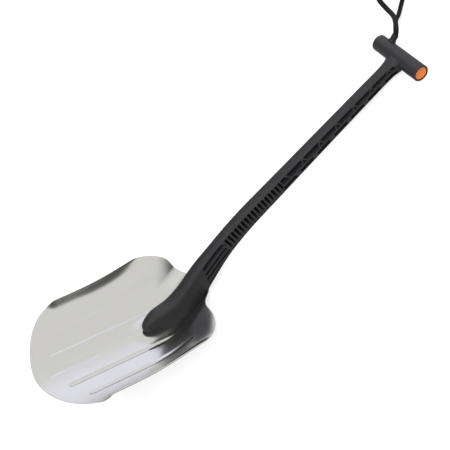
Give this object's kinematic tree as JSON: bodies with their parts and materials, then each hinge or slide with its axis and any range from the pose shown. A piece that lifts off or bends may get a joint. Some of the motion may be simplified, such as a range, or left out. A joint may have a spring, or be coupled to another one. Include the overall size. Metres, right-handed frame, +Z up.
{
  "type": "avalanche shovel",
  "caption": "Avalanche shovel with a dished, ribbed aluminium scoop, a curved moulded handle with side pockets, a T grip with end caps and a webbing hand loop.",
  "frame": {"origin": "middle of the shovel's bounding box at ground level, with the shovel lying on the scoop's heel and on the T grip; the hand loop is left out of the box", "axes": "+X runs along the shovel from the scoop's front edge to the T grip, +Y along the T grip, +Z up"},
  "size_m": [0.9403, 0.3055, 0.1711],
  "materials": {
    "scoop_sheet": "polished sheet, satin",
    "handle_plastic": "glass-filled nylon, fine grain",
    "grip_rubber": "soft matte",
    "cap_plastic": "satin orange",
    "screw_steel": "zinc plated",
    "ferrule_rubber": "matte black",
    "webbing": "woven black polyester"
  },
  "bodies": {
    "root": {"scoop": "scoop_sheet", "handle": "handle_plastic", "grip_sleeve": "grip_rubber", "end_cap_near": "cap_plastic", "end_cap_far": "cap_plastic", "screws": "screw_steel", "loop_ferrule": "ferrule_rubber", "hand_loop": "webbing"}
  },
  "joints": []
}
